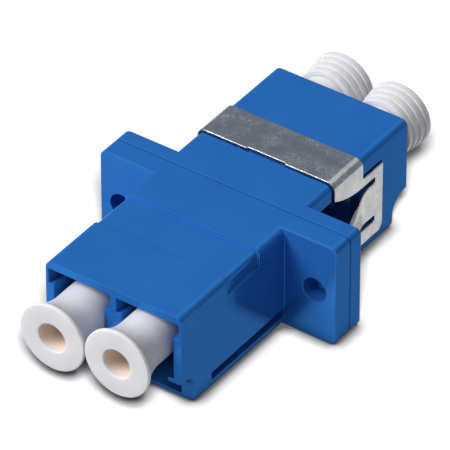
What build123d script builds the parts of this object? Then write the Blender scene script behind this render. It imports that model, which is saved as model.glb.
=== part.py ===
from build123d import *

import os
from math import cos, radians, sin

# Duplex fibre optic adapter. Two moulded housing halves meet at a flange, a
# sprung steel clip straddles the rear half and holds the adapter in a panel,
# each channel holds a split ceramic sleeve, and a dust plug closes each port.
#
# Millimetres. X runs across the two ports, Y along the fibres from front to
# rear, Z up. The origin is the middle of the two flange holes, on the rear face
# of the flange, which seats on the panel.

# Flange
FLANGE_HEIGHT = 9.2
FRONT_FLANGE = 1.9
REAR_FLANGE = 1.45
FLANGE_CORNER_R = 0.6
FLANGE_EDGE_R = 0.15
SEAM_BEVEL = 0.07
HOLE_PITCH = 18.0
HOLE_TO_END = 2.0
HOLE_R = 1.05

# Body of each half, beyond the flange
BODY_WIDTH = 12.5
BODY_LENGTH = 13.4
BODY_CORNER_R = 0.65
TOP_WALL = 0.7
BOTTOM_WALL = 0.5
FOOT_EDGE_R = 0.35

# The lower part of each end is set back by a small step and a hollow curve down to a foot
FRONT_STEP_RISE = 2.85
REAR_STEP_RISE = 2.5
STEP_BACK = 0.15
CURVE_BACK = 1.7
CURVE_DROP = 1.45

# Ports: a wide notch over a square channel over a latch slot
PORT_PITCH = 6.25
PORT_AXIS_DROP = 3.1
NOTCH_WIDTH = 5.7
NOTCH_DROP = 2.05
CHANNEL_WIDTH = 4.75
CHANNEL_DROP = 5.95
LATCH_WIDTH = 3.7
LATCH_SHOULDER = 3.4
LATCH_POCKET = 4.5
MIDDLE_WALL = 1.45

# Split sleeve in each channel, and the tube that holds it
SLEEVE_LENGTH = 6.8
SLEEVE_OUTER_R = 0.81
SLEEVE_BORE_R = 0.625
SLEEVE_SLIT = 0.3
SLEEVE_PLAY = 0.05
HOLDER_WALL = 0.44
HOLDER_LIP = 0.7
LIP_BORE_R = 0.7
LEAD_IN = 0.2

# Belt recess round each body, and the slot low in each side wall
EMPTY_BELT_START = 3.3
EMPTY_BELT_DROP = 1.55
BELT_START = 3.0
BELT_LENGTH = 4.1
BELT_DEPTH = 0.2
SIDE_SLOT_RISE = 0.85
SIDE_SLOT_HEIGHT = 0.7
SIDE_SLOT_LENGTH = 9.5

# Panel clip, and the window in the side wall behind each of its fingers
CLIP_SHEET = 0.4
CLIP_BEND_R = 0.8
CLIP_PLAY = 0.1
CLIP_LEG_LENGTH = 6.65
CLIP_LEG_DROP = 8.05
CLIP_STEP_DROP = 1.7
CLIP_STEP_R = 0.25
CLIP_CHAMFER = 0.45
CLIP_NOTCH_WIDTH = 3.5
CLIP_NOTCH_DEPTH = 0.15
SLOT_LENGTH = 5.6
SLOT_END_R = 0.27
SLOT_FLARE_LENGTH = 3.8
SLOT_HALF_FRONT = 3.1
FINGER_DROP = 4.6
FINGER_ROOT_HALF = 1.58
FINGER_TIP_HALF = 0.8
FINGER_ANGLE = 21.0
FINGER_BEND_R = 4.6
FINGER_BEND_SETBACK = 0.8
PANEL_ROOM = 2.2
WINDOW_START = 0.3
WINDOW_LENGTH = 6.3
WINDOW_HALF = 3.15

# Dust plugs
PLUG_INSERTION = 6.5
PLUG_REACH = 3.8
PLUG_STEM_R = 2.1
PLUG_STEM_CHAMFER = 0.3
PLUG_STEM_BORE_R = 1.45
PLUG_STEM_BORE = 4.4
PLUG_FACE_BORE_R = 1.24
PLUG_FACE_BORE = 5.2
PLUG_EDGE_CHAMFER = 0.08
FRONT_FLARE_R = 2.93
FRONT_RIM = 0.3
FRONT_SWEEP = 2.65
REAR_FLARE_R = 2.85
REAR_RINGS = 4
REAR_RING_PITCH = 0.65
REAR_RING_STEP = 0.09
REAR_RING_CHAMFER = 0.04

# How each plug sits in the play of its port: to the right, up and out of its full depth
FRONT_LEFT_SEAT = (0.22, -0.39, 0)
FRONT_RIGHT_SEAT = (-0.08, -0.08, 0)
REAR_LEFT_SEAT = (0.2, -0.1, 1.0)
REAR_RIGHT_SEAT = (-0.03, 0.17, 0)

# Levels and places that follow from the sizes above
FLANGE_WIDTH = HOLE_PITCH + 2 * HOLE_TO_END
TOP = FLANGE_HEIGHT / 2
BOTTOM = -TOP
PARTING_Y = -REAR_FLANGE
PORT_X = PORT_PITCH / 2
PORT_Z = TOP - PORT_AXIS_DROP
CHANNEL_FLOOR_Z = TOP - CHANNEL_DROP
LATCH_FLOOR_Z = BOTTOM + BOTTOM_WALL
HOLDER_BORE_R = SLEEVE_OUTER_R + SLEEVE_PLAY
HOLDER_BORE_LENGTH = SLEEVE_LENGTH / 2 + SLEEVE_PLAY
HOLDER_LENGTH = HOLDER_BORE_LENGTH + HOLDER_LIP
CLIP_INNER_X = BODY_WIDTH / 2 - BELT_DEPTH
CLIP_OUTER_X = CLIP_INNER_X + CLIP_SHEET
CLIP_OUTER_Z = TOP - BELT_DEPTH + CLIP_SHEET
CLIP_START = BELT_START + CLIP_PLAY
CLIP_WEB_LENGTH = BELT_LENGTH - 2 * CLIP_PLAY
CLIP_STEP_Z = TOP - CLIP_STEP_DROP
CLIP_BOTTOM_Z = TOP - CLIP_LEG_DROP
FINGER_Z = TOP - FINGER_DROP
SLOT_TIP_Y = CLIP_START + SLOT_LENGTH
SLOT_HALF_TIP = FINGER_ROOT_HALF + 2 * SLOT_END_R
FINGER_BEND_Y = SLOT_TIP_Y - FINGER_BEND_SETBACK
BEYOND = 1.0  # how far cuts run past the faces that they open


def section(toward, distance):
    """Plane across the body, y up, `distance` from the parting face and facing away from it."""
    return Plane(
        origin=(0, PARTING_Y + toward * distance, 0),
        x_dir=(-toward, 0, 0),
        z_dir=(0, toward, 0),
    )


def side_view(toward, start, level=0):
    """Plane up the middle, `start` off the parting face: x runs away from that face, y is up."""
    return Plane(
        origin=(0, PARTING_Y + toward * start, level), x_dir=(0, toward, 0), z_dir=(toward, 0, 0)
    )


def band(width, upper, lower):
    """Rectangle of the current sketch between two levels."""
    with Locations((0, (upper + lower) / 2)):
        Rectangle(width, upper - lower)


def recess(toward, flange, outline):
    """What the belt recess takes off a half: `outline` is its side view, from the flange's face."""
    with BuildPart() as cut:
        with BuildSketch(side_view(toward, flange)):
            Polygon(*outline, align=None)
        extrude(amount=BODY_WIDTH, both=True)
        with BuildSketch(section(toward, 0)):
            RectangleRounded(
                BODY_WIDTH - 2 * BELT_DEPTH,
                FLANGE_HEIGHT - 2 * BELT_DEPTH,
                BODY_CORNER_R - BELT_DEPTH,
            )
        extrude(amount=flange + BODY_LENGTH, mode=Mode.SUBTRACT)
    return cut.part


def housing_half(toward, flange, step_rise, belt_outline):
    """One moulded half: its share of the flange, the body, both ports and their sleeve holders."""
    end = flange + BODY_LENGTH
    step_z = BOTTOM + step_rise
    belt = recess(toward, flange, belt_outline)
    with BuildPart() as half:
        # Flange plate, bevelled where the halves meet
        with BuildSketch(section(toward, 0)):
            RectangleRounded(FLANGE_WIDTH, FLANGE_HEIGHT, FLANGE_CORNER_R)
        extrude(amount=flange)
        seam_face, outer_face = half.faces().filter_by(Axis.Y).sort_by(Axis.Y)[::toward]
        chamfer(seam_face.edges(), SEAM_BEVEL)
        fillet(outer_face.edges(), FLANGE_EDGE_R)

        # Body, flush with the flange at the top and the bottom
        with BuildSketch(section(toward, SEAM_BEVEL)):
            RectangleRounded(BODY_WIDTH, FLANGE_HEIGHT, BODY_CORNER_R)
        extrude(amount=end - SEAM_BEVEL)

        # Lower end set back: a step, then a hollow curve down to the foot
        with BuildSketch(side_view(toward, end)):
            with BuildLine():
                Polyline(
                    (-CURVE_BACK, step_z - CURVE_DROP),
                    (-CURVE_BACK, BOTTOM - BEYOND),
                    (BEYOND, BOTTOM - BEYOND),
                    (BEYOND, step_z),
                    (-STEP_BACK, step_z),
                )
                EllipticalCenterArc(
                    (-STEP_BACK, step_z - CURVE_DROP),
                    CURVE_BACK - STEP_BACK,
                    CURVE_DROP,
                    start_angle=90,
                    arc_size=90,
                )
            make_face()
        extrude(amount=BODY_WIDTH, both=True, mode=Mode.SUBTRACT)
        foot_edges = half.edges().filter_by(Axis.X).group_by(Axis.Z)[0].sort_by(Axis.Y)
        fillet(foot_edges[::toward][-1], FOOT_EDGE_R)

        # Ports
        with BuildSketch(section(toward, MIDDLE_WALL)):
            with GridLocations(PORT_PITCH, 0, 2, 1):
                band(NOTCH_WIDTH, TOP - TOP_WALL, TOP - NOTCH_DROP)
                band(CHANNEL_WIDTH, TOP - TOP_WALL, CHANNEL_FLOOR_Z)
                band(LATCH_WIDTH, CHANNEL_FLOOR_Z, LATCH_FLOOR_Z)
        extrude(amount=end, mode=Mode.SUBTRACT)
        with BuildSketch(section(toward, end - LATCH_SHOULDER)):
            with GridLocations(PORT_PITCH, 0, 2, 1):
                band(CHANNEL_WIDTH, CHANNEL_FLOOR_Z, LATCH_FLOOR_Z)
        extrude(amount=-LATCH_POCKET, mode=Mode.SUBTRACT)

        # Belt recess over the top and down the sides, and the slot low in each side wall
        add(belt, mode=Mode.SUBTRACT)
        with BuildSketch(side_view(toward, flange)):
            with Locations((0, BOTTOM + SIDE_SLOT_RISE)):
                Rectangle(SIDE_SLOT_LENGTH, SIDE_SLOT_HEIGHT, align=(Align.MIN, Align.MIN))
        extrude(amount=BODY_WIDTH, both=True, mode=Mode.SUBTRACT)

        # Sleeve holders, each with a lip that keeps the sleeve in
        with BuildSketch(section(toward, 0)):
            with Locations((-PORT_X, PORT_Z), (PORT_X, PORT_Z)):
                Circle(HOLDER_BORE_R + HOLDER_WALL)
        extrude(amount=HOLDER_LENGTH)
        with BuildSketch(section(toward, 0)):
            with Locations((-PORT_X, PORT_Z), (PORT_X, PORT_Z)):
                Circle(HOLDER_BORE_R)
        extrude(amount=HOLDER_BORE_LENGTH, mode=Mode.SUBTRACT)
        with BuildSketch(section(toward, 0)):
            with Locations((-PORT_X, PORT_Z), (PORT_X, PORT_Z)):
                Circle(LIP_BORE_R)
        extrude(amount=HOLDER_LENGTH, mode=Mode.SUBTRACT)
        holder_ends = half.faces().filter_by(
            lambda face: abs(face.center().Y - section(toward, HOLDER_LENGTH).origin.Y) < 0.001
        )
        chamfer([face.inner_wires()[0].edges()[0] for face in holder_ends], LEAD_IN)

        # Flange holes
        with BuildSketch(section(toward, 0)):
            with GridLocations(HOLE_PITCH, 0, 2, 1):
                Circle(HOLE_R)
        extrude(amount=flange, mode=Mode.SUBTRACT)
    return half


# Front half: its belt is left empty and stops short down the sides
front_housing = housing_half(
    -1,
    FRONT_FLANGE,
    FRONT_STEP_RISE,
    [
        (EMPTY_BELT_START, TOP - EMPTY_BELT_DROP),
        (EMPTY_BELT_START + BELT_LENGTH, TOP - EMPTY_BELT_DROP),
        (EMPTY_BELT_START + BELT_LENGTH, TOP + BEYOND),
        (EMPTY_BELT_START, TOP + BEYOND),
    ],
)
front_housing.part.label = "front_housing"

# Rear half: its belt has the outline of the clip that sits in it
rear_body = housing_half(
    1,
    REAR_FLANGE,
    REAR_STEP_RISE,
    [
        (BELT_START, CLIP_BOTTOM_Z - CLIP_PLAY),
        (CLIP_START + CLIP_LEG_LENGTH + CLIP_PLAY - CLIP_CHAMFER, CLIP_BOTTOM_Z - CLIP_PLAY),
        (CLIP_START + CLIP_LEG_LENGTH + CLIP_PLAY, CLIP_BOTTOM_Z - CLIP_PLAY + CLIP_CHAMFER),
        (CLIP_START + CLIP_LEG_LENGTH + CLIP_PLAY, CLIP_STEP_Z + CLIP_PLAY),
        (BELT_START + BELT_LENGTH, CLIP_STEP_Z + CLIP_PLAY),
        (BELT_START + BELT_LENGTH, TOP + BEYOND),
        (BELT_START, TOP + BEYOND),
    ],
)
with BuildPart() as rear_housing:
    add(rear_body.part)
    # Windows behind the clip's fingers, through the outer walls of the channels
    for side in (-1, 1):
        channel_wall = Plane(
            origin=(side * (PORT_X + CHANNEL_WIDTH / 2), 0, 0), x_dir=(0, side, 0), z_dir=(side, 0, 0)
        )
        with BuildSketch(channel_wall):
            with Locations((side * (WINDOW_START + WINDOW_LENGTH / 2), FINGER_Z)):
                Rectangle(WINDOW_LENGTH, 2 * WINDOW_HALF)
        extrude(amount=BODY_WIDTH, mode=Mode.SUBTRACT)
rear_housing.part.label = "rear_housing"

# Sprung finger of the clip: bent outwards, narrower towards its free end
finger_end_y = PANEL_ROOM + CLIP_SHEET / 2 * sin(radians(FINGER_ANGLE))
with BuildPart() as spring_finger:
    with BuildSketch(Plane.XY.offset(FINGER_Z)):
        with BuildLine():
            bend = JernArc(
                ((CLIP_INNER_X + CLIP_OUTER_X) / 2, FINGER_BEND_Y), (0, -1), FINGER_BEND_R, FINGER_ANGLE
            )
            straight = ((bend @ 1).Y - finger_end_y) / cos(radians(FINGER_ANGLE))
            Line(bend @ 1, bend @ 1 + (bend % 1) * straight)
        trace(line_width=CLIP_SHEET)
    extrude(amount=FINGER_ROOT_HALF, both=True)
    with BuildSketch(side_view(1, REAR_FLANGE)):
        with Locations((0, FINGER_Z)):
            Polygon(
                (FINGER_BEND_Y, -FINGER_ROOT_HALF),
                (FINGER_BEND_Y, FINGER_ROOT_HALF),
                (PANEL_ROOM, FINGER_TIP_HALF),
                (PANEL_ROOM, -FINGER_TIP_HALF),
                align=None,
            )
    extrude(amount=FLANGE_WIDTH, mode=Mode.INTERSECT)

# Panel clip: one strip folded over the body, with a finger cut and bent out of each leg
with BuildPart() as panel_clip:
    with BuildSketch(section(1, REAR_FLANGE + CLIP_START)):
        RectangleRounded(2 * CLIP_OUTER_X, 2 * CLIP_OUTER_Z, CLIP_BEND_R)
        RectangleRounded(
            2 * CLIP_INNER_X,
            2 * (CLIP_OUTER_Z - CLIP_SHEET),
            CLIP_BEND_R - CLIP_SHEET,
            mode=Mode.SUBTRACT,
        )
        with Locations((0, CLIP_BOTTOM_Z)):
            Rectangle(
                FLANGE_WIDTH, FLANGE_HEIGHT, align=(Align.CENTER, Align.MAX), mode=Mode.SUBTRACT
            )
    extrude(amount=CLIP_LEG_LENGTH)

    # Outline of the legs
    with BuildSketch(side_view(1, REAR_FLANGE + CLIP_START)) as leg:
        Polygon(
            (0, CLIP_BOTTOM_Z),
            (CLIP_LEG_LENGTH, CLIP_BOTTOM_Z),
            (CLIP_LEG_LENGTH, CLIP_STEP_Z),
            (CLIP_WEB_LENGTH, CLIP_STEP_Z),
            (CLIP_WEB_LENGTH, TOP + BEYOND),
            (0, TOP + BEYOND),
            align=None,
        )
        fillet(leg.vertices().sort_by_distance((CLIP_WEB_LENGTH, CLIP_STEP_Z))[0], CLIP_STEP_R)
        chamfer(leg.vertices().sort_by_distance((CLIP_LEG_LENGTH, CLIP_BOTTOM_Z))[0], CLIP_CHAMFER)
    extrude(amount=BODY_WIDTH, both=True, mode=Mode.INTERSECT)

    # Opening round each finger: its two slots flare towards the front
    slot_back = SLOT_LENGTH - SLOT_END_R
    finger_back = SLOT_LENGTH - FINGER_BEND_SETBACK
    with BuildSketch(side_view(1, REAR_FLANGE + CLIP_START, FINGER_Z)):
        with BuildLine():
            outer_edge = Line((slot_back, SLOT_HALF_TIP), (SLOT_FLARE_LENGTH, SLOT_HALF_TIP))
            flare = TangentArc(outer_edge @ 1, (0, SLOT_HALF_FRONT), tangent=outer_edge % 1)
            Polyline(
                flare @ 1,
                flare @ 1 + (flare % 1) * BEYOND,
                (-BEYOND, 0),
                (finger_back, 0),
                (finger_back, FINGER_ROOT_HALF),
                (slot_back, FINGER_ROOT_HALF),
            )
            ThreePointArc(
                (slot_back, FINGER_ROOT_HALF),
                (SLOT_LENGTH, FINGER_ROOT_HALF + SLOT_END_R),
                (slot_back, SLOT_HALF_TIP),
            )
        make_face()
        mirror(about=Plane.XZ)
    extrude(amount=BODY_WIDTH, both=True, mode=Mode.SUBTRACT)

    # Shallow notch in the front edge of the web
    with BuildSketch(Plane.XY.offset(CLIP_STEP_Z)):
        with Locations((0, CLIP_START)):
            Rectangle(CLIP_NOTCH_WIDTH, 2 * CLIP_NOTCH_DEPTH)
    extrude(amount=TOP, mode=Mode.SUBTRACT)

    add(spring_finger.part)
    mirror(spring_finger.part, about=Plane.YZ)
panel_clip.part.label = "panel_clip"


def split_sleeve(side):
    """Ceramic sleeve with a slit along its top, astride the parting face."""
    with BuildPart() as sleeve:
        with BuildSketch(section(-1, -SLEEVE_LENGTH / 2)):
            with Locations((side * PORT_X, PORT_Z)):
                Circle(SLEEVE_OUTER_R)
                Circle(SLEEVE_BORE_R, mode=Mode.SUBTRACT)
                Rectangle(
                    SLEEVE_SLIT,
                    2 * SLEEVE_OUTER_R,
                    align=(Align.CENTER, Align.MIN),
                    mode=Mode.SUBTRACT,
                )
        extrude(amount=SLEEVE_LENGTH)
    return sleeve


def dust_plug(port_side, toward, flange, seat, flare_r, outline):
    """Plug turned about its own axis, which stands off its port's axis as `seat` tells.

    `outline` draws the flare's side from the stem to the edge of the face, in radius and distance
    from the face.
    """
    across, up, out = seat
    x, z = port_side * PORT_X + across, PORT_Z + up
    end = flange + BODY_LENGTH + out
    stem_end = -PLUG_REACH - PLUG_INSERTION
    face_plane = Plane(
        origin=(x, PARTING_Y + toward * (end + PLUG_REACH), z), x_dir=(1, 0, 0), z_dir=(0, 0, toward)
    )
    with BuildPart() as plug:
        with BuildSketch(face_plane):
            with BuildLine():
                side = outline()
                Polyline(
                    side @ 1,
                    (flare_r, -PLUG_EDGE_CHAMFER),
                    (flare_r - PLUG_EDGE_CHAMFER, 0),
                    (0, 0),
                    (0, stem_end),
                    (PLUG_STEM_R - PLUG_STEM_CHAMFER, stem_end),
                    (PLUG_STEM_R, stem_end + PLUG_STEM_CHAMFER),
                    side @ 0,
                )
            make_face()
        revolve(axis=Axis(face_plane.origin, (0, 1, 0)))
        for bore_r, mouth, depth in (
            (PLUG_FACE_BORE_R, PLUG_REACH, -PLUG_FACE_BORE),
            (PLUG_STEM_BORE_R, -PLUG_INSERTION, PLUG_STEM_BORE),
        ):
            with BuildSketch(section(toward, end + mouth)):
                with Locations((-toward * x, z)):
                    Circle(bore_r)
            extrude(amount=depth, mode=Mode.SUBTRACT)
    return plug


def swept_flare():
    """Side of a front plug's flare: one hollow sweep from the stem to a thin rim."""
    return TangentArc(
        (PLUG_STEM_R, -FRONT_RIM - FRONT_SWEEP), (FRONT_FLARE_R, -FRONT_RIM), tangent=(0, 1)
    )


def ringed_flare():
    """Side of a rear plug's flare: rings that step up towards the face."""
    corners = [(PLUG_STEM_R, -REAR_RINGS * REAR_RING_PITCH)]
    for ring in range(REAR_RINGS, 0, -1):
        ring_r = REAR_FLARE_R - (ring - 1) * REAR_RING_STEP
        shoulder = -ring * REAR_RING_PITCH
        corners += [
            (ring_r - REAR_RING_CHAMFER, shoulder),
            (ring_r, shoulder + REAR_RING_CHAMFER),
            (ring_r, shoulder + REAR_RING_PITCH),
        ]
    return Polyline(*corners[:-1])


pieces = [front_housing.part, rear_housing.part, panel_clip.part]
for side, name in ((-1, "left"), (1, "right")):
    sleeve = split_sleeve(side)
    sleeve.part.label = "split_sleeve_" + name
    pieces.append(sleeve.part)

for name, side, seat in (
    ("front_left", -1, FRONT_LEFT_SEAT),
    ("front_right", 1, FRONT_RIGHT_SEAT),
):
    front_plug = dust_plug(side, -1, FRONT_FLANGE, seat, FRONT_FLARE_R, swept_flare)
    front_plug.part.label = "dust_plug_" + name
    pieces.append(front_plug.part)

for name, side, seat in (("rear_left", -1, REAR_LEFT_SEAT), ("rear_right", 1, REAR_RIGHT_SEAT)):
    rear_plug = dust_plug(side, 1, REAR_FLANGE, seat, REAR_FLARE_R, ringed_flare)
    rear_plug.part.label = "dust_plug_" + name
    pieces.append(rear_plug.part)

os.makedirs("parts", exist_ok=True)
for piece in pieces:
    export_step(piece, f"parts/{piece.label}.step")
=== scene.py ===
from math import atan2, cos, hypot, pi, radians, sin, sqrt, tan

import bmesh
import bpy
from bpy.props import FloatProperty, FloatVectorProperty, IntProperty, PointerProperty
from mathutils import Matrix, Vector


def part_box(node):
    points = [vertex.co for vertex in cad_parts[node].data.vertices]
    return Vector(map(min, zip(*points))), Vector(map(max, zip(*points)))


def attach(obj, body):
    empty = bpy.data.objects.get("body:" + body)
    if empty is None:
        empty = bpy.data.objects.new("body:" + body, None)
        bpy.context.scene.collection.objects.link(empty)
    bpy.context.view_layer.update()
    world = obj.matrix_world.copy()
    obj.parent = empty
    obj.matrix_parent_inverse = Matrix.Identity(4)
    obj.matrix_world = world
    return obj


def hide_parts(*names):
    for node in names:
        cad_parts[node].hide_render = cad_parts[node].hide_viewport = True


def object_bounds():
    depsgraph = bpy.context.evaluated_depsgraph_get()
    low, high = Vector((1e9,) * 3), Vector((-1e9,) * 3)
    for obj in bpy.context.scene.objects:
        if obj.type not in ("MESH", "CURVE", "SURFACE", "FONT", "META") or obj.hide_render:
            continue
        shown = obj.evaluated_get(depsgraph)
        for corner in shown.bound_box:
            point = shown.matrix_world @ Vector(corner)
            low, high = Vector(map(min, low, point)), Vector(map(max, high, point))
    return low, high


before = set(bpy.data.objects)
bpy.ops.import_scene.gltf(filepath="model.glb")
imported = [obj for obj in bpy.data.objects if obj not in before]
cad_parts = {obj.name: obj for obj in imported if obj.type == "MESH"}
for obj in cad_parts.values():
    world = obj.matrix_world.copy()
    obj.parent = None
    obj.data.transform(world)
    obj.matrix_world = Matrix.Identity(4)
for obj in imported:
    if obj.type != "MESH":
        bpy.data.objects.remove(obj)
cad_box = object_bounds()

bl_info = {
    "name": "Fibre optic adapter",
    "version": (1, 0, 0),
    "blender": (4, 5, 0),
    "location": "3D View > Sidebar > Adapter",
    "description": (
        "Dresses a duplex fibre optic adapter: moulded housing, spring clip, sleeves and dust plugs"
    ),
    "category": "Add Mesh",
}

MM = 0.001

# Points nearer than this are one, and faces that meet at a smaller angle are one
SAME_POINT = 0.001 * MM
SAME_FACE = radians(0.5)
# A point of an outline that is nearer to the axis than this lies on it
ON_AXIS = 1e-9
# Edges of a CAD node that turn by more than this get rounded
ROUNDED_FROM = radians(35)
# Corners of a turned plug that turn by more than this stay sharp in the shading
SHARP_FROM = radians(50)

# Stage, in metres
FLOOR_Z = cad_box[0].z
FLOOR_REACH = 3.0
LAMP_DISTANCE = 0.9
FLAG_RADIUS = 1.2
FLAG_SIDES = 64
# Shares of open sky beside the part between which the painted foot shadow fades out
FOOT_DARK, FOOT_CLEAR = 0.45, 0.97


def colour(code):
    """Linear red, green and blue of an sRGB hex code."""
    parts = [int(code[i : i + 2], 16) / 255 for i in (0, 2, 4)]
    return tuple(c / 12.92 if c <= 0.04045 else ((c + 0.055) / 1.055) ** 2.4 for c in parts)


def add_node(tree, kind, settings=None, links=None):
    """Adds a node, sets its sockets or properties by name or number, and links its inputs."""
    node = tree.nodes.new(kind)
    for key, value in (settings or {}).items():
        if isinstance(key, int) or key in node.inputs:
            node.inputs[key].default_value = value
        else:
            setattr(node, key, value)
    for key, source in (links or {}).items():
        tree.links.new(source, node.inputs[key])
    return node


def new_material(name):
    """Empty material with its node tree and the output node."""
    material = bpy.data.materials.new(name)
    material.use_nodes = True
    tree = material.node_tree
    tree.nodes.clear()
    return material, tree, add_node(tree, "ShaderNodeOutputMaterial")


def pattern_node(tree, kind, size, settings):
    """Pattern on the piece itself, one cell of which is `size` metres across."""
    place = add_node(tree, "ShaderNodeTexCoord").outputs["Object"]
    return add_node(tree, kind, {"Scale": 1 / size} | settings, {"Vector": place}).outputs["Fac"]


def noise(tree, size, detail, **more):
    """Cloudy pattern with cells of `size` metres."""
    return pattern_node(tree, "ShaderNodeTexNoise", size, {"Detail": detail} | more)


def set_or_link(tree, socket, given):
    """Gives a socket a number, a colour or the output of another node."""
    if isinstance(given, bpy.types.NodeSocket):
        tree.links.new(given, socket)
    elif socket.type == "RGBA":
        socket.default_value = (*given, 1)
    else:
        socket.default_value = given


def blend_colours(tree, low, high, factor):
    """Mix by a pattern of two colours, each a colour or the output of a node."""
    node = add_node(tree, "ShaderNodeMix", {"data_type": "RGBA"}, {0: factor})
    set_or_link(tree, node.inputs[6], low)
    set_or_link(tree, node.inputs[7], high)
    return node.outputs[2]


def combine(tree, operation, first, second):
    """Maths on two values, each a number or the output of a node."""
    node = add_node(tree, "ShaderNodeMath", {"operation": operation})
    set_or_link(tree, node.inputs[0], first)
    set_or_link(tree, node.inputs[1], second)
    return node.outputs[0]


def spread(tree, pattern, low, high, start=0.3, end=0.7):
    """Pattern values from start to end, moved to the range from low to high."""
    return add_node(
        tree,
        "ShaderNodeMapRange",
        {"From Min": start, "From Max": end, "To Min": low, "To Max": high},
        {"Value": pattern},
    ).outputs["Result"]


def bump(tree, height, depth, over=None):
    """Normal that follows a pattern of this depth, on top of another normal if there is one."""
    links = {"Height": height}
    if over is not None:
        links["Normal"] = over
    return add_node(
        tree, "ShaderNodeBump", {"Strength": 1.0, "Distance": depth}, links
    ).outputs["Normal"]


def cover(tree, output, values, links):
    """Adds the surface's shader and links it to the output."""
    shader = add_node(tree, "ShaderNodeBsdfPrincipled", values, links)
    tree.links.new(shader.outputs[0], output.inputs["Surface"])


# Materials


def glossy_polymer(settings):
    """Injection moulded PBT from a polished mould: IOR 1.57, roughness 0.08 to 0.14.

    A fine pearl pigment gives the reflections the moulding's own blue, so Metallic is above zero
    and the clear skin's own reflection is weak. The eye sees clean soft-edged mirror images in the
    flat walls and a faint ripple where thick and thin walls shrank differently.
    """
    material, tree, output = new_material("moulded_PBT_blue")
    shrink = noise(tree, settings.ripple_size, 2.0)
    grain = noise(tree, settings.grain_size, 3.0)
    base = blend_colours(tree, settings.shade, settings.tone, spread(tree, shrink, 0.0, 1.0))
    ripple = bump(tree, shrink, settings.ripple_depth)
    smoothest = settings.gloss - settings.gloss_spread
    roughest = settings.gloss + settings.gloss_spread
    cover(
        tree,
        output,
        {
            "IOR": settings.ior,
            "Specular IOR Level": settings.skin,
            "Specular Tint": (*settings.sheen, 1),
            "Metallic": settings.pearl,
        },
        {
            "Base Color": base,
            "Roughness": spread(tree, grain, smoothest, roughest),
            "Normal": bump(tree, grain, settings.grain_depth, ripple),
        },
    )
    return material


def rolled_steel(settings):
    """Bright cold-rolled stainless spring steel: metallic, roughness 0.12, up to 0.34 in a scuff.

    The eye sees cold grey mirror images with sharp light and dark bands at the bends. Tumbling
    left short pale scuffs, drawn coarser than life so that they show, and cloudy duller patches.
    """
    material, tree, output = new_material("rolled_spring_steel")
    clouds = noise(tree, settings.cloud_size, 4.0)
    scuffs = noise(tree, settings.scuff_size, 3.0, Roughness=0.6, Distortion=2.5)
    marks = combine(
        tree,
        "MULTIPLY",
        spread(tree, scuffs, 0.0, 0.85, 0.46, 0.78),
        spread(tree, clouds, 0.2, 1.0, 0.4, 0.62),
    )
    skin = blend_colours(tree, settings.shade, settings.tone, spread(tree, clouds, 0.0, 1.0))
    dullest = settings.gloss + settings.scuff_dulling
    cover(
        tree,
        output,
        {"Metallic": 1.0},
        {
            "Base Color": blend_colours(tree, skin, settings.scuff_tone, marks),
            "Roughness": spread(tree, marks, settings.gloss, dullest, 0.0, 1.0),
            "Normal": bump(tree, scuffs, settings.scuff_depth),
        },
    )
    return material


def milky_polyethylene(settings):
    """Natural low-density polyethylene, moulded: IOR 1.51, satin, roughness 0.33 to 0.43, milky.

    The eye sees soft white shading without hard reflections. The bores get a painted warm shade
    from half a millimetre down, which the mesh's bore_depth attribute marks; it stands in for light
    that has come through the wall.
    """
    material, tree, output = new_material("moulded_polyethylene_white")
    clouds = noise(tree, settings.cloud_size, 3.0)
    grain = noise(tree, settings.grain_size, 4.0)
    skin = blend_colours(tree, settings.shade, settings.tone, spread(tree, clouds, 0.0, 1.0))
    depth = add_node(tree, "ShaderNodeAttribute", {"attribute_name": "bore_depth"}).outputs["Fac"]
    # Share of the painted warm shade down a bore, which stands in for light through the wall, by depth
    painted_bore_mask = spread(tree, depth, 0.0, 1.0, settings.bore_painted_from, settings.bore_painted_full)
    smoothest = settings.gloss - settings.gloss_spread
    roughest = settings.gloss + settings.gloss_spread
    cover(
        tree,
        output,
        {
            "IOR": settings.ior,
            "Subsurface Weight": settings.milk,
            "Subsurface Radius": (1.0, 0.8, 0.65),
            "Subsurface Scale": settings.milk_depth,
        },
        {
            "Base Color": blend_colours(tree, skin, settings.bore_painted_shade, painted_bore_mask),
            "Roughness": spread(tree, grain, smoothest, roughest),
            "Normal": bump(tree, grain, settings.grain_depth),
        },
    )
    return material


def ground_zirconia(settings):
    """Sintered zirconia, centreless ground: IOR 2.1, roughness 0.14 to 0.22.

    The wheel left fine rings, drawn coarser than life so that they show.
    """
    material, tree, output = new_material("ground_zirconia")
    rings = pattern_node(
        tree,
        "ShaderNodeTexWave",
        settings.ring_size,
        {"bands_direction": "Y", "Distortion": 1.0, "Detail": 2.0, "Detail Scale": 3.0},
    )
    dullest = settings.gloss + settings.gloss_spread
    cover(
        tree,
        output,
        {"IOR": settings.ior},
        {
            "Base Color": blend_colours(tree, settings.shade, settings.tone, rings),
            "Roughness": spread(tree, rings, settings.gloss, dullest, 0.0, 1.0),
            "Normal": bump(tree, rings, settings.ring_depth),
        },
    )
    return material


# Meshes


def add_piece(name, mesh, material, body):
    """Object at the origin that rides on a body and takes one material."""
    mesh.materials.clear()
    mesh.materials.append(material)
    piece = bpy.data.objects.new(name, mesh)
    bpy.context.scene.collection.objects.link(piece)
    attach(piece, body)
    return piece


def evaluated_mesh(piece):
    """Plain mesh of an object with its modifiers applied."""
    return bpy.data.meshes.new_from_object(
        piece.evaluated_get(bpy.context.evaluated_depsgraph_get())
    )


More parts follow.
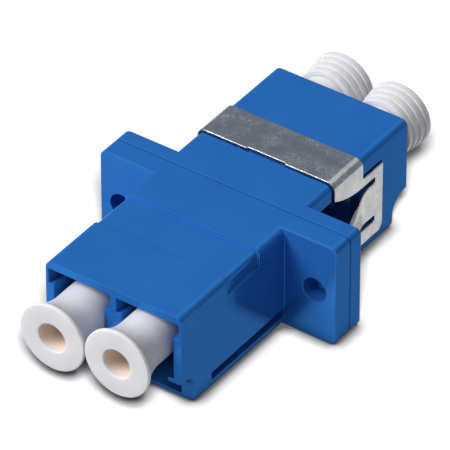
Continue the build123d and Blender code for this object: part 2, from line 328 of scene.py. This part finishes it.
def softened_copy(node, radius, steps):
    """Mesh of a CAD node, merged, with its sharp edges rounded by `radius`.

    The normals follow the larger faces, so that flat walls stay flat up to their rounded edges.
    """
    shape = bmesh.new()
    shape.from_mesh(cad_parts[node].data)
    bmesh.ops.remove_doubles(shape, verts=shape.verts, dist=SAME_POINT)
    bmesh.ops.dissolve_limit(shape, angle_limit=SAME_FACE, verts=shape.verts, edges=shape.edges)
    mesh = bpy.data.meshes.new(node)
    shape.to_mesh(mesh)
    shape.free()
    mesh.shade_smooth()
    carrier = bpy.data.objects.new(node + "_carrier", mesh)
    bpy.context.scene.collection.objects.link(carrier)
    rounding = carrier.modifiers.new("rounding", "BEVEL")
    rounding.width = radius
    rounding.segments = steps
    rounding.limit_method = "ANGLE"
    rounding.angle_limit = ROUNDED_FROM
    rounding.use_clamp_overlap = False
    rounding.miter_outer = "MITER_ARC"
    softened = evaluated_mesh(carrier)
    bpy.data.objects.remove(carrier)
    keep_walls_flat(softened)
    return softened


def keep_walls_flat(mesh):
    """Gives each point of a rounded mesh a normal that follows the larger faces round it.

    A face counts by the square of its area, so the narrow strips of a rounding hardly count.
    """
    pulls = [Vector() for _ in mesh.vertices]
    for face in mesh.polygons:
        pull = face.normal * (face.area / MM**2) ** 2
        for corner in face.vertices:
            pulls[corner] += pull
    mesh.normals_split_custom_set_from_vertices([pull.normalized() for pull in pulls])


def rounded_outline(corners, steps=6):
    """Points of an outline from (radius, height, rounding) corners, with an arc at each rounded one."""
    points = []
    for i, (r, h, rounding) in enumerate(corners):
        here = Vector((r, h))
        if not rounding or i in (0, len(corners) - 1):
            points.append(here)
            continue
        before = (Vector(corners[i - 1][:2]) - here).normalized()
        after = (Vector(corners[i + 1][:2]) - here).normalized()
        half = before.angle(after) / 2
        reach = rounding / tan(half)
        centre = here + (before + after).normalized() * (rounding / sin(half))
        start = here + before * reach - centre
        end = here + after * reach - centre
        first = atan2(start.y, start.x)
        sweep = (atan2(end.y, end.x) - first + pi) % (2 * pi) - pi
        for step in range(steps + 1):
            angle = first + sweep * step / steps
            points.append(centre + Vector((cos(angle), sin(angle))) * rounding)
    return points


def turn_outline(shape, outline, segments):
    """Adds the outline, radius and height, turned about Z; its points on the axis become one."""
    before = None
    for r, h in outline:
        if r < ON_AXIS:
            ring = [shape.verts.new((0, 0, h))]
        else:
            ring = [
                shape.verts.new((r * cos(2 * pi * i / segments), r * sin(2 * pi * i / segments), h))
                for i in range(segments)
            ]
        if before:
            for i in range(segments):
                corners = [before[i % len(before)], before[(i + 1) % len(before)]]
                corners += [ring[(i + 1) % len(ring)], ring[i % len(ring)]]
                shape.faces.new(list(dict.fromkeys(corners)))
        before = ring


def plug_length(node):
    """Length of a plug's CAD node."""
    low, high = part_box(node)
    return high.y - low.y


def plug_place(node):
    """Place of a plug: its axis, its outer face and the way that it points, as a matrix."""
    low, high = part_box(node)
    toward = 1 if high.y > 0 else -1
    face = high.y if toward > 0 else low.y
    turned = Matrix.Rotation(radians(-90 * toward), 4, "X")
    return Matrix.Translation(((low.x + high.x) / 2, face, (low.z + high.z) / 2)) @ turned


def place_plug(shape, node, plug):
    """Mesh of a plug with its outer face and axis where the CAD node has them.

    The bore_depth attribute holds how far each point lies down a bore; the material paints a warm shade
    by it.
    """
    whole = plug_length(node)
    bmesh.ops.recalc_face_normals(shape, faces=shape.faces)
    depths = []
    for vert in shape.verts:
        r, z = hypot(vert.co.x, vert.co.y), vert.co.z
        near_face = z > -whole / 2
        wall = (plug.bore_radius if near_face else plug.stem_bore_radius) + 2 * SAME_POINT
        depths.append((-z if near_face else z + whole) if r < wall else 0.0)
    bmesh.ops.transform(shape, matrix=plug_place(node), verts=shape.verts)
    mesh = bpy.data.meshes.new(node + "_dressed")
    shape.to_mesh(mesh)
    shape.free()
    mesh.attributes.new("bore_depth", "FLOAT", "POINT").data.foreach_set("value", depths)
    mesh.shade_smooth()
    mesh.set_sharp_from_angle(angle=SHARP_FROM)
    return mesh


def stem_corners(plug, whole):
    """Outline of a plug's stem from its hollow end up to where it leaves the port."""
    end = -whole
    return [
        (0, end + plug.stem_bore, 0),
        (plug.stem_bore_radius, end + plug.stem_bore, plug.stem_floor_round),
        (plug.stem_bore_radius, end, plug.stem_end_round),
        (plug.stem_radius - plug.stem_chamfer, end, plug.stem_end_round),
        (plug.stem_radius, end + plug.stem_chamfer, plug.stem_chamfer_round),
    ]


def sweep_corners(plug, steps=16):
    """Outline of a front plug's hollow sweep: an arc that leaves the stem without a corner."""
    rise = plug.front_radius - plug.stem_radius
    arc = (plug.sweep_length**2 + rise**2) / (2 * rise)
    start = -plug.front_rim - plug.sweep_length
    along = [plug.sweep_length * step / steps for step in range(steps)]
    corners = [(plug.stem_radius + arc - sqrt(arc**2 - z**2), start + z, 0) for z in along]
    return corners + [(plug.front_radius, -plug.front_rim, plug.rim_round)]


def face_corners(plug, flare_radius):
    """Outline of a plug's outer face and its blind bore, from the rim inwards."""
    return [
        (flare_radius, 0, plug.rim_round),
        (plug.bore_radius, 0, plug.bore_round),
        (plug.bore_radius, -plug.bore_depth, plug.bore_floor_round),
        (0, -plug.bore_depth, 0),
    ]


def ring_mesh(plug):
    """Mesh of one ring of the rear radius, with its top at height 0 and rounded outer edges."""
    inner = plug.stem_radius - plug.ring_root
    bottom = -plug.ring_pitch - plug.ring_overlap
    corners = [
        (inner, 0, 0),
        (plug.rear_radius, 0, plug.ring_groove),
        (plug.rear_radius, bottom, plug.ring_round),
        (inner, bottom, 0),
    ]
    outline = rounded_outline(corners)
    shape = bmesh.new()
    turn_outline(shape, outline + outline[:1], plug.segments)
    bmesh.ops.remove_doubles(shape, verts=shape.verts, dist=SAME_POINT / 2)
    bmesh.ops.recalc_face_normals(shape, faces=shape.faces)
    mesh = bpy.data.meshes.new("ring")
    shape.to_mesh(mesh)
    shape.free()
    return mesh


def ring_tree(name):
    """Geometry Nodes: a ring mesh repeated down a plug, each one narrower by the same step."""
    tree = bpy.data.node_groups.new(name, "GeometryNodeTree")
    face = tree.interface
    face.new_socket("Geometry", in_out="INPUT", socket_type="NodeSocketGeometry")
    for label, kind in (
        ("Count", "NodeSocketInt"),
        ("Pitch", "NodeSocketFloat"),
        ("Step", "NodeSocketFloat"),
        ("Radius", "NodeSocketFloat"),
        ("Material", "NodeSocketMaterial"),
    ):
        face.new_socket(label, in_out="INPUT", socket_type=kind)
    face.new_socket("Geometry", in_out="OUTPUT", socket_type="NodeSocketGeometry")
    given = add_node(tree, "NodeGroupInput").outputs

    drop = combine(tree, "MULTIPLY", given["Pitch"], -1)
    down = add_node(tree, "ShaderNodeCombineXYZ", {}, {"Z": drop})
    places = add_node(
        tree,
        "GeometryNodeMeshLine",
        {},
        {"Count": given["Count"], "Start Location": down.outputs[0], "Offset": down.outputs[0]},
    ).outputs[0]
    ordinal = combine(tree, "ADD", add_node(tree, "GeometryNodeInputIndex").outputs[0], 1)
    share_of_radius = combine(tree, "DIVIDE", given["Step"], given["Radius"])
    across = combine(tree, "SUBTRACT", 1, combine(tree, "MULTIPLY", ordinal, share_of_radius))
    size = add_node(tree, "ShaderNodeCombineXYZ", {"Z": 1.0}, {"X": across, "Y": across}).outputs[0]
    rings = add_node(
        tree,
        "GeometryNodeInstanceOnPoints",
        {},
        {"Points": places, "Instance": given["Geometry"], "Scale": size},
    ).outputs[0]
    real = add_node(tree, "GeometryNodeRealizeInstances", {}, {"Geometry": rings}).outputs[0]
    done = add_node(
        tree, "GeometryNodeSetMaterial", {}, {"Geometry": real, "Material": given["Material"]}
    ).outputs[0]
    add_node(tree, "NodeGroupOutput", {}, {"Geometry": done})
    return tree


def run_tree(tree, mesh, values):
    """Mesh that a node tree makes from a mesh and the named input values."""
    carrier = bpy.data.objects.new("carrier", mesh)
    bpy.context.scene.collection.objects.link(carrier)
    modifier = carrier.modifiers.new("tree", "NODES")
    modifier.node_group = tree
    for item in tree.interface.items_tree:
        if item.name in values and item.in_out == "INPUT":
            modifier[item.identifier] = values[item.name]
    made = evaluated_mesh(carrier)
    carrier.modifiers.clear()
    bpy.data.objects.remove(carrier)
    return made


def plug_outline(plug, node, flare):
    """Whole outline of a plug, from its hollow end to its outer face's bore."""
    return rounded_outline(stem_corners(plug, plug_length(node)) + flare)


def dress_plug(node, shape, plug, body):
    """Piece that stands for a plug's CAD node and rides with its body."""
    mesh = place_plug(shape, node, plug)
    piece = add_piece(node + "_turned", mesh, plug_material(plug), body)
    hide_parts(node)


def plug_material(plug):
    """The plugs' material, made once for all four."""
    return bpy.data.materials.get("moulded_polyethylene_white") or milky_polyethylene(plug)


# Settings


def length(name, description, millimetres):
    """Property for a size, in the scene's units."""
    return FloatProperty(
        name=name, description=description, default=millimetres * MM, subtype="DISTANCE", unit="LENGTH"
    )


def tint(name, description, code):
    """Property for a colour, from its sRGB hex code."""
    return FloatVectorProperty(
        name=name, description=description, subtype="COLOR", min=0, max=1, default=colour(code)
    )


def share(name, description, value):
    """Property for a value between 0 and 1."""
    return FloatProperty(name=name, description=description, default=value, min=0, max=1)


def refraction(value):
    """Property for an index of refraction."""
    return FloatProperty(name="IOR", description="Index of refraction", default=value, min=1)


def turn(name, description, degrees):
    """Property for an angle."""
    return FloatProperty(name=name, description=description, default=radians(degrees), subtype="ANGLE")


def power(name, description, watts):
    """Property for a lamp's power."""
    return FloatProperty(name=name, description=description, default=watts, min=0, unit="POWER")


class HousingSettings(bpy.types.PropertyGroup):
    """Sizes and colours of the moulded housing"""

    tone: tint("Colour", "Blue of the moulding", "2F74C4")
    shade: tint("Shade", "Blue where the wall is thick", "2C6FC0")
    gloss: share("Roughness", "Roughness of the polished walls", 0.11)
    pearl: share("Pearl", "How much the pigment tints the reflections", 0.3)
    sheen: tint("Sheen", "Tint of the reflections at a low angle", "8CC4DC")
    ior: refraction(1.57)
    skin: share("Skin", "Strength of the clear skin's own reflection", 0.02)
    gloss_spread: share("Roughness spread", "How far the roughness varies either way", 0.03)
    ripple_size: length("Ripple size", "Width of the ripples left by shrinking", 4)
    ripple_depth: length("Ripple depth", "Depth of those ripples", 0.012)
    grain_size: length("Grain size", "Width of the polished mould's grain", 0.12)
    grain_depth: length("Grain depth", "Depth of that grain", 0.0002)
    edge_round: length("Edge rounding", "Radius on the moulded edges", 0.06)


class ClipSettings(bpy.types.PropertyGroup):
    """Sizes and colours of the panel clip"""

    tone: tint("Colour", "Bright parts of the steel", "B0AFAE")
    shade: tint("Shade", "Duller parts of the steel", "9C9EA2")
    scuff_tone: tint("Scuff colour", "Pale scuffs in the steel", "D2D4D6")
    gloss: share("Roughness", "Roughness of the rolled skin", 0.12)
    scuff_dulling: share("Scuff roughness", "How much rougher a full scuff is", 0.26)
    cloud_size: length("Cloud size", "Width of the duller patches", 1.6)
    scuff_size: length("Scuff size", "Length of a scuff", 0.5)
    scuff_depth: length("Scuff depth", "Depth of a scuff", 0.003)
    edge_round: length("Edge rounding", "Radius that tumbling left on the sheared edges", 0.09)


class SleeveSettings(bpy.types.PropertyGroup):
    """Colours of the split sleeves"""

    tone: tint("Colour", "Ceramic", "F2EFE6")
    shade: tint("Shade", "Ceramic between the grinding rings", "E6E2D6")
    gloss: share("Roughness", "Roughness of the ground surface", 0.14)
    gloss_spread: share("Roughness spread", "How much rougher the rings are", 0.08)
    ior: refraction(2.1)
    ring_size: length("Ring size", "Width of a grinding ring", 1.2)
    ring_depth: length("Ring depth", "Depth of a grinding ring", 0.0005)


class PlugSettings(bpy.types.PropertyGroup):
    """Sizes and colours of the dust plugs"""

    tone: tint("Colour", "Milky plastic", "E9E8EB")
    shade: tint("Shade", "Milky plastic where it is cloudier", "E3E2E6")
    # Painted warm shade down a bore, which stands in for light that has come through the wall
    bore_painted_shade: tint("Bore colour", "Milky plastic down a bore", "EFDED0")
    gloss: share("Roughness", "Roughness of the satin surface", 0.38)
    gloss_spread: share("Roughness spread", "How far the roughness varies either way", 0.05)
    # Depths where that painted shade starts and where it is full
    bore_painted_from: length("Bore colour from", "Depth where the bore's colour starts", 0.1)
    bore_painted_full: length("Bore colour full", "Depth from which it is all of that colour", 0.6)
    ior: refraction(1.51)
    milk: share("Milkiness", "Share of the light that goes through the skin", 0.6)
    milk_depth: length("Milk depth", "How far that light goes", 0.5)
    cloud_size: length("Cloud size", "Width of the cloudier patches", 1.5)
    grain_size: length("Grain size", "Width of the satin grain", 0.15)
    grain_depth: length("Grain depth", "Depth of that grain", 0.002)
    segments: IntProperty(name="Segments", description="Facets round a plug", default=96, min=24, max=192)
    stem_radius: length("Stem radius", "Radius in the port", 2.1)
    stem_chamfer: length("Stem chamfer", "Chamfer on the end in the port", 0.3)
    stem_bore_radius: length("Stem bore radius", "Radius of the hollow in that end", 1.45)
    stem_bore: length("Stem bore depth", "Depth of the hollow in that end", 4.4)
    stem_floor_round: length("Hollow rounding", "Radius at that hollow's floor", 0.1)
    stem_end_round: length("Stem end rounding", "Radius round that end's flat rim", 0.08)
    stem_chamfer_round: length("Stem chamfer rounding", "Radius from chamfer to stem", 0.15)
    bore_radius: length("Face bore radius", "Radius of the blind hole in the outer face", 1.24)
    bore_depth: length("Face bore depth", "Depth of the blind hole in the outer face", 5.2)
    bore_round: length("Face bore rounding", "Radius round that hole's mouth", 0.1)
    bore_floor_round: length("Face bore floor rounding", "Radius at that hole's floor", 0.25)
    rim_round: length("Rim rounding", "Radius round the outer face", 0.1)
    front_radius: length("Front radius", "Radius of a front plug's outer face", 2.93)
    front_rim: length("Front rim", "Width of the thin rim round that face", 0.3)
    sweep_length: length("Sweep length", "Length of a front plug's hollow sweep", 2.65)
    rear_radius: length("Rear radius", "Radius of a rear plug's outer face", 2.85)
    rings: IntProperty(name="Rings", description="Rings of a rear plug's flare", default=4, min=2, max=8)
    ring_pitch: length("Ring pitch", "Width of one ring", 0.65)
    ring_step: length("Ring step", "How much each ring is narrower than the one before", 0.09)
    ring_round: length("Ring rounding", "Radius on a ring's edge towards the port", 0.06)
    ring_groove: length("Ring groove", "Radius on a ring's other edge, which leaves a groove", 0.14)
    ring_overlap: length("Ring overlap", "How far one ring sinks into the next", 0.02)
    ring_root: length("Ring root", "How far a ring reaches into the stem", 0.08)


class StageSettings(bpy.types.PropertyGroup):
    """Camera, floor and light"""

    azimuth: turn("Azimuth", "Camera's turn from straight in front", 35.17)
    elevation: turn("Elevation", "Camera's height above the floor", 37.73)
    distance: length("Distance", "Camera to the aim point", 425.5)
    span: length("Span", "Width of the picture at the aim point", 34.5)
    aside: length("Aside", "Aim point right of the origin", -1.315)
    raised: length("Raised", "Aim point above the origin", 0.053)
    floor_tone: tint("Floor", "Sweep under the part, white under its own lamp", "949494")
    floor_shade: tint("Floor bounce", "What the sweep gives back to the part", "484848")
    # Painted shadow on the sweep right beside the part's foot, and how far it reaches
    painted_foot_shadow: tint("Foot shadow", "Sweep right beside the foot of the part", "353638")
    foot_reach: length("Foot shadow reach", "How far that shadow reaches", 1.3)
    dome: share("Dome", "Soft light from all round", 0.28)
    flag: tint("Flag", "Dark cloth round the set, which only reflections see", "98A3B0")
    flag_top: turn("Flag top", "Height of the cloth's upper edge, seen from the part", 42.5)
    key_azimuth: turn("Key azimuth", "Key lamp's turn from straight in front", -36)
    key_elevation: turn("Key elevation", "Key lamp's height", 45)
    key_power: power("Key power", "Watts of the key lamp", 8.9)
    key_size: length("Key size", "Side of the key lamp's panel", 500)
    edge_lamp_power: power("Edge lamp power", "Watts of the panel in the steel's edges", 30)
    edge_lamp_size: length("Edge lamp size", "Side of that panel", 500)
    floor_lamp_elevation: turn("Floor lamp elevation", "Height of the lamp over the camera", 46)
    floor_lamp_power: power("Floor lamp power", "Watts of the lamp over the camera", 39)
    floor_lamp_size: length("Floor lamp size", "Side of that lamp's panel", 165)


# Stage


def direction(azimuth, elevation):
    """Unit vector from the part towards a place round it."""
    return Vector(
        (sin(azimuth) * cos(elevation), -cos(azimuth) * cos(elevation), sin(elevation))
    )


def set_camera(scene, stage):
    """Camera aimed at a point near the origin."""
    back = direction(stage.azimuth, stage.elevation)
    facing = (-back).to_track_quat("-Z", "Y")
    aim = facing @ Vector((stage.aside, stage.raised, 0))
    lens = bpy.data.cameras.new("camera")
    lens.sensor_width = 36
    lens.lens = lens.sensor_width * stage.distance / stage.span
    lens.clip_start = 0.01
    lens.clip_end = 20
    camera = bpy.data.objects.new("camera", lens)
    camera.location = aim + back * stage.distance
    camera.rotation_mode = "QUATERNION"
    camera.rotation_quaternion = facing
    scene.collection.objects.link(camera)
    scene.camera = camera
    scene.view_settings.view_transform = "Standard"


def white_for_viewers(tree):
    """1 for rays that come from the camera or a reflection of it, 0 for the rest."""
    path = add_node(tree, "ShaderNodeLightPath").outputs
    mirrored = combine(tree, "MAXIMUM", path["Is Camera Ray"], path["Is Glossy Ray"])
    return combine(tree, "MAXIMUM", mirrored, path["Is Transmission Ray"])


def stage_piece(name, shape, material):
    """Floor or backdrop, which isn't part of the object."""
    mesh = bpy.data.meshes.new(name)
    shape.to_mesh(mesh)
    shape.free()
    mesh.materials.append(material)
    backdrop = bpy.data.objects.new(name, mesh)
    bpy.context.scene.collection.objects.link(backdrop)
    return backdrop


def set_floor(stage):
    """Pale matt sweep under the part; it shows white with the part's shadow from the floor lamp and a
    painted shadow round the part's foot.

    It gives less light back to the part than it shows, as a small sheet on a dark table does.
    """
    material, tree, output = new_material("pale_paper_sweep")
    # Painted shadow: the sweep's colour gets darker where little open sky is near, right beside the
    # part's foot
    open_sky = add_node(
        tree, "ShaderNodeAmbientOcclusion", {"Distance": stage.foot_reach}
    ).outputs["AO"]
    clear = spread(tree, open_sky, 0.0, 1.0, FOOT_DARK, FOOT_CLEAR)
    floor_with_painted_shadow = blend_colours(tree, stage.painted_foot_shadow, stage.floor_tone, clear)
    shown = blend_colours(tree, stage.floor_shade, floor_with_painted_shadow, white_for_viewers(tree))
    paper = add_node(tree, "ShaderNodeBsdfDiffuse", {}, {"Color": shown}).outputs[0]
    tree.links.new(paper, output.inputs["Surface"])
    shape = bmesh.new()
    bmesh.ops.create_grid(shape, x_segments=1, y_segments=1, size=FLOOR_REACH)
    bmesh.ops.translate(shape, vec=(0, 0, FLOOR_Z), verts=shape.verts)
    return stage_piece("floor", shape, material)


def set_flag(stage):
    """Dark cloth round the set, which only reflections see: it gives steel and gloss their dark side."""
    material, tree, output = new_material("dark_cloth")
    cloth = add_node(tree, "ShaderNodeEmission", {"Color": (*stage.flag, 1)}).outputs[0]
    tree.links.new(cloth, output.inputs["Surface"])
    shape = bmesh.new()
    top = FLAG_RADIUS * tan(stage.flag_top)
    turn_outline(shape, [(FLAG_RADIUS, FLOOR_Z), (FLAG_RADIUS, top)], FLAG_SIDES)
    flag = stage_piece("flag", shape, material)
    flag.visible_camera = flag.visible_diffuse = flag.visible_shadow = flag.visible_transmission = False


def set_world(scene, stage):
    """Soft white light from all round, which viewers see as plain white."""
    world = bpy.data.worlds.new("studio")
    world.use_nodes = True
    tree = world.node_tree
    tree.nodes.clear()
    white = {"Color": (1, 1, 1, 1)}
    around = add_node(tree, "ShaderNodeBackground", white | {"Strength": stage.dome}).outputs[0]
    seen = add_node(tree, "ShaderNodeBackground", white | {"Strength": 1.0}).outputs[0]
    mixed = add_node(
        tree, "ShaderNodeMixShader", {}, {0: white_for_viewers(tree), 1: around, 2: seen}
    ).outputs[0]
    add_node(tree, "ShaderNodeOutputWorld", {}, {"Surface": mixed})
    scene.world = world


def set_lamp(name, toward, size, watts, target, link, mirrored):
    """Soft square panel that faces the part and lights either the target alone or all but it.

    Reflections see the panel only where `mirrored` is true.
    """
    lamp = bpy.data.lights.new(name, "AREA")
    lamp.size = size
    lamp.energy = watts
    light = bpy.data.objects.new(name, lamp)
    light.location = toward * LAMP_DISTANCE
    light.rotation_mode = "QUATERNION"
    light.rotation_quaternion = (-toward).to_track_quat("-Z", "Y")
    light.visible_glossy = mirrored
    bpy.context.scene.collection.objects.link(light)
    reach = bpy.data.collections.new(name + "_reach")
    reach.objects.link(target)
    reach.collection_objects[0].light_linking.link_state = link
    light.light_linking.receiver_collection = reach


def set_lamps(stage, floor):
    """Key for the part from the left, and a lamp over the camera that only makes its shadow.

    The steel's front edges mirror a panel of their own, in the key's place.
    """
    key = direction(stage.key_azimuth, stage.key_elevation)
    set_lamp("key", key, stage.key_size, stage.key_power, floor, "EXCLUDE", False)
    clip = bpy.data.objects["panel_clip_sheet"]
    set_lamp("edge_lamp", key, stage.edge_lamp_size, stage.edge_lamp_power, clip, "INCLUDE", True)
    above = direction(stage.azimuth, stage.floor_lamp_elevation)
    set_lamp(
        "floor_lamp", above, stage.floor_lamp_size, stage.floor_lamp_power, floor, "INCLUDE", False
    )


# Operators


class ADAPTER_OT_housing(bpy.types.Operator):
    """Round the moulded edges of both housing halves and give them their finish"""

    bl_idname = "adapter.housing"
    bl_label = "Housing halves"

    def execute(self, context):
        settings = context.scene.adapter_housing
        material = glossy_polymer(settings)
        for node in ("front_housing", "rear_housing"):
            mesh = softened_copy(node, settings.edge_round, 2)
            half = add_piece(node + "_moulding", mesh, material, "adapter")
            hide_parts(node)
        return {"FINISHED"}


class ADAPTER_OT_clip(bpy.types.Operator):
    """Round the sheared edges of the panel clip and give it its finish"""

    bl_idname = "adapter.clip"
    bl_label = "Panel clip"

    def execute(self, context):
        settings = context.scene.adapter_clip
        mesh = softened_copy("panel_clip", settings.edge_round, 3)
        clip = add_piece("panel_clip_sheet", mesh, rolled_steel(settings), "adapter")
        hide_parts("panel_clip")
        return {"FINISHED"}


class ADAPTER_OT_sleeves(bpy.types.Operator):
    """Give the split sleeves their ground ceramic finish"""

    bl_idname = "adapter.sleeves"
    bl_label = "Split sleeves"

    def execute(self, context):
        material = ground_zirconia(context.scene.adapter_sleeve)
        for side in ("left", "right"):
            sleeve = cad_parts["split_sleeve_" + side]
            sleeve.data.materials.clear()
            sleeve.data.materials.append(material)
        return {"FINISHED"}


class ADAPTER_OT_front_plugs(bpy.types.Operator):
    """Turn the two front dust plugs, which flare in one hollow sweep"""

    bl_idname = "adapter.front_plugs"
    bl_label = "Front dust plugs"

    def execute(self, context):
        plug = context.scene.adapter_plug
        for side in ("left", "right"):
            node = "dust_plug_front_" + side
            shape = bmesh.new()
            flare = sweep_corners(plug) + face_corners(plug, plug.front_radius)
            turn_outline(shape, plug_outline(plug, node, flare), plug.segments)
            dress_plug(node, shape, plug, "plug_front_" + side)
        return {"FINISHED"}


class ADAPTER_OT_rear_plugs(bpy.types.Operator):
    """Turn the two rear dust plugs, whose flare steps up in rings"""

    bl_idname = "adapter.rear_plugs"
    bl_label = "Rear dust plugs"

    def execute(self, context):
        plug = context.scene.adapter_plug
        rings = run_tree(
            ring_tree("Stepped rings"),
            ring_mesh(plug),
            {
                "Count": plug.rings - 1,
                "Pitch": plug.ring_pitch,
                "Step": plug.ring_step,
                "Radius": plug.rear_radius,
                "Material": plug_material(plug),
            },
        )
        for side in ("left", "right"):
            node = "dust_plug_rear_" + side
            shape = bmesh.new()
            flare = [
                (plug.stem_radius, -plug.ring_pitch, 0),
                (plug.rear_radius, -plug.ring_pitch, plug.ring_round),
            ]
            flare += face_corners(plug, plug.rear_radius)
            turn_outline(shape, plug_outline(plug, node, flare), plug.segments)
            shape.from_mesh(rings)
            dress_plug(node, shape, plug, "plug_rear_" + side)
        return {"FINISHED"}


class ADAPTER_OT_stage(bpy.types.Operator):
    """Set the camera, the pale floor and the soft studio light"""

    bl_idname = "adapter.stage"
    bl_label = "Stage"

    def execute(self, context):
        stage = context.scene.adapter_stage
        set_camera(context.scene, stage)
        set_flag(stage)
        set_world(context.scene, stage)
        set_lamps(stage, set_floor(stage))
        return {"FINISHED"}


class ADAPTER_PT_panel(bpy.types.Panel):
    """Buttons and settings of the adapter"""

    bl_label = "Fibre optic adapter"
    bl_idname = "ADAPTER_PT_panel"
    bl_space_type = "VIEW_3D"
    bl_region_type = "UI"
    bl_category = "Adapter"

    def draw(self, context):
        for step in STEPS:
            self.layout.operator(step.bl_idname)
        for name, group in SETTINGS.items():
            box = self.layout.box()
            box.label(text=group.__doc__)
            for key in group.__annotations__:
                box.prop(getattr(context.scene, name), key)


SETTINGS = {
    "adapter_housing": HousingSettings,
    "adapter_clip": ClipSettings,
    "adapter_sleeve": SleeveSettings,
    "adapter_plug": PlugSettings,
    "adapter_stage": StageSettings,
}
STEPS = (
    ADAPTER_OT_housing,
    ADAPTER_OT_clip,
    ADAPTER_OT_sleeves,
    ADAPTER_OT_front_plugs,
    ADAPTER_OT_rear_plugs,
    ADAPTER_OT_stage,
)


def register():
    """Registers the classes and the scene's settings."""
    for name, group in SETTINGS.items():
        bpy.utils.register_class(group)
        setattr(bpy.types.Scene, name, PointerProperty(type=group))
    for kind in (*STEPS, ADAPTER_PT_panel):
        bpy.utils.register_class(kind)


def unregister():
    """Takes back what register did."""
    for kind in (ADAPTER_PT_panel, *reversed(STEPS)):
        bpy.utils.unregister_class(kind)
    for name, group in SETTINGS.items():
        delattr(bpy.types.Scene, name)
        bpy.utils.unregister_class(group)


def main():
    """Registers the classes and builds every piece."""
    register()
    for step in STEPS:
        family, name = step.bl_idname.split(".")
        getattr(getattr(bpy.ops, family), name)()


if __name__ == "__main__":
    main()
